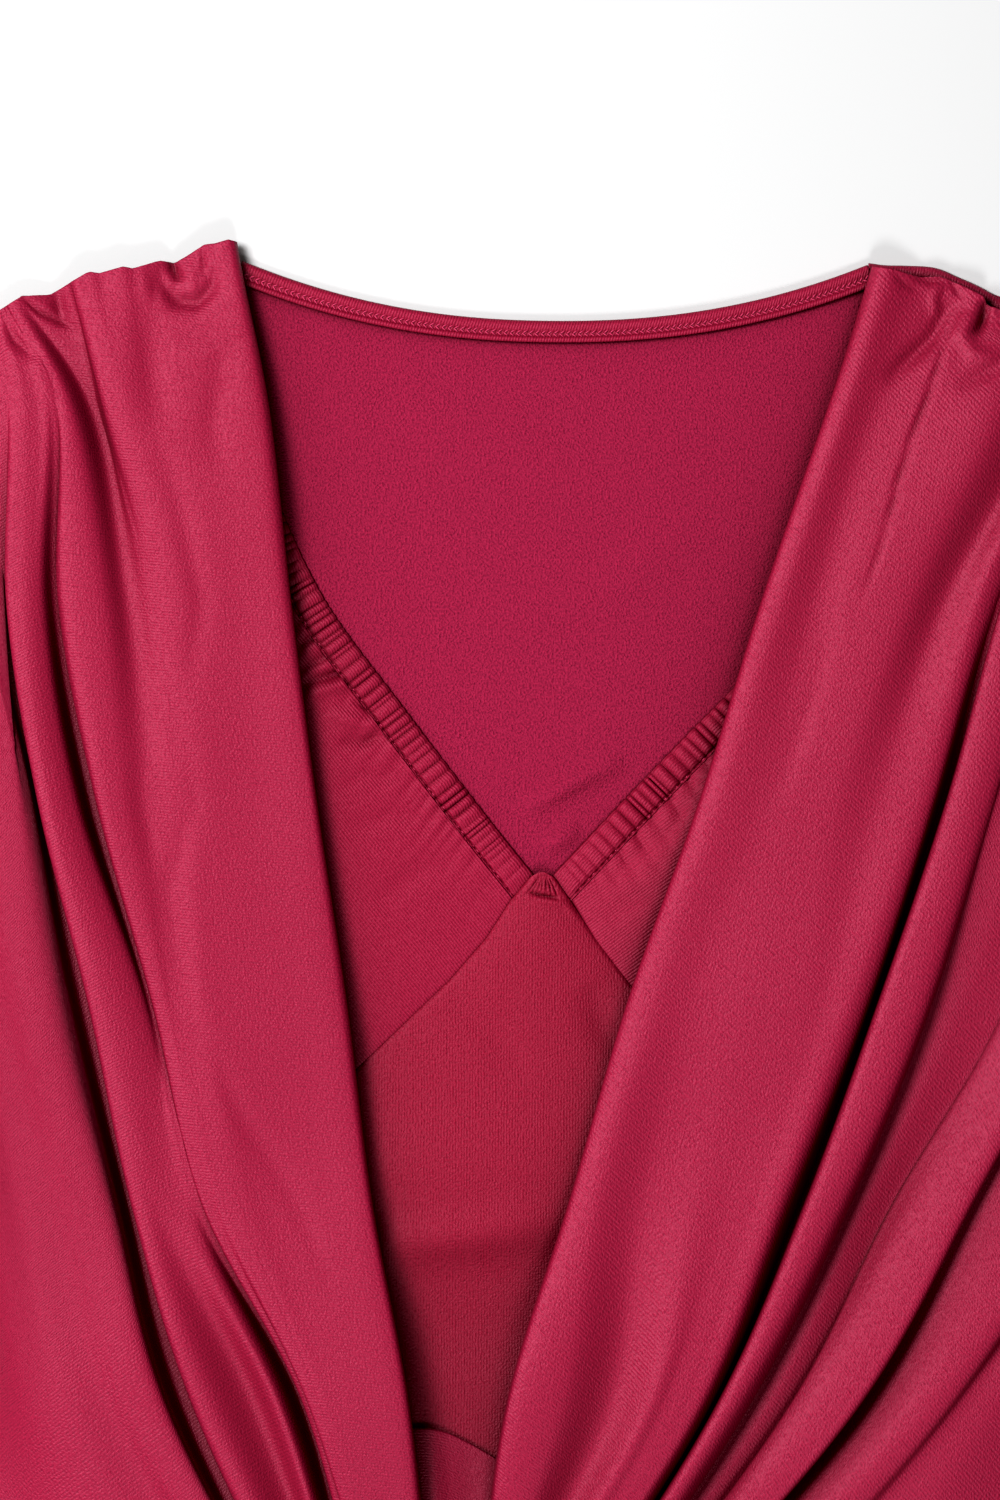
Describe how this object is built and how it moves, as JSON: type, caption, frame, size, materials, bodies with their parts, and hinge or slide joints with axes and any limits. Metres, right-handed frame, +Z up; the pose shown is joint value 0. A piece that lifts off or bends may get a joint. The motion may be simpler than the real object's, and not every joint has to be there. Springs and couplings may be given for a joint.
{
  "type": "cowl neck mini dress",
  "caption": "Raspberry red satin knit mini dress, laid flat, with draped cowl front over an inner elasticated V neckline, a front twist and long sleeves",
  "frame": {"origin": "on the surface the dress lies on, below the middle of its bounding box", "axes": "+X to the right as the dress is seen from the front, +Y from the hem to the neck, +Z up from the surface"},
  "size_m": [1.0722, 0.8601, 0.0311],
  "materials": {
    "drape_satin": "satin knit face with a soft sheen and fine diagonal ribs",
    "inner_front": "satin knit, less shiny, with fine ribs",
    "inner_face": "matt reverse of the knit"
  },
  "bodies": {
    "root": {"back": "inner_face", "neck_binding": "inner_face", "centre_panel": "inner_front", "cup_left": "inner_front", "cup_right": "inner_front", "elastic_left": "inner_front", "elastic_right": "inner_front", "drape_left": "drape_satin", "drape_right": "drape_satin", "tuck": "drape_satin", "twist_under": "drape_satin", "twist_over": "drape_satin", "skirt_front": "drape_satin", "sleeve_left": "drape_satin", "sleeve_right": "drape_satin"}
  },
  "joints": []
}
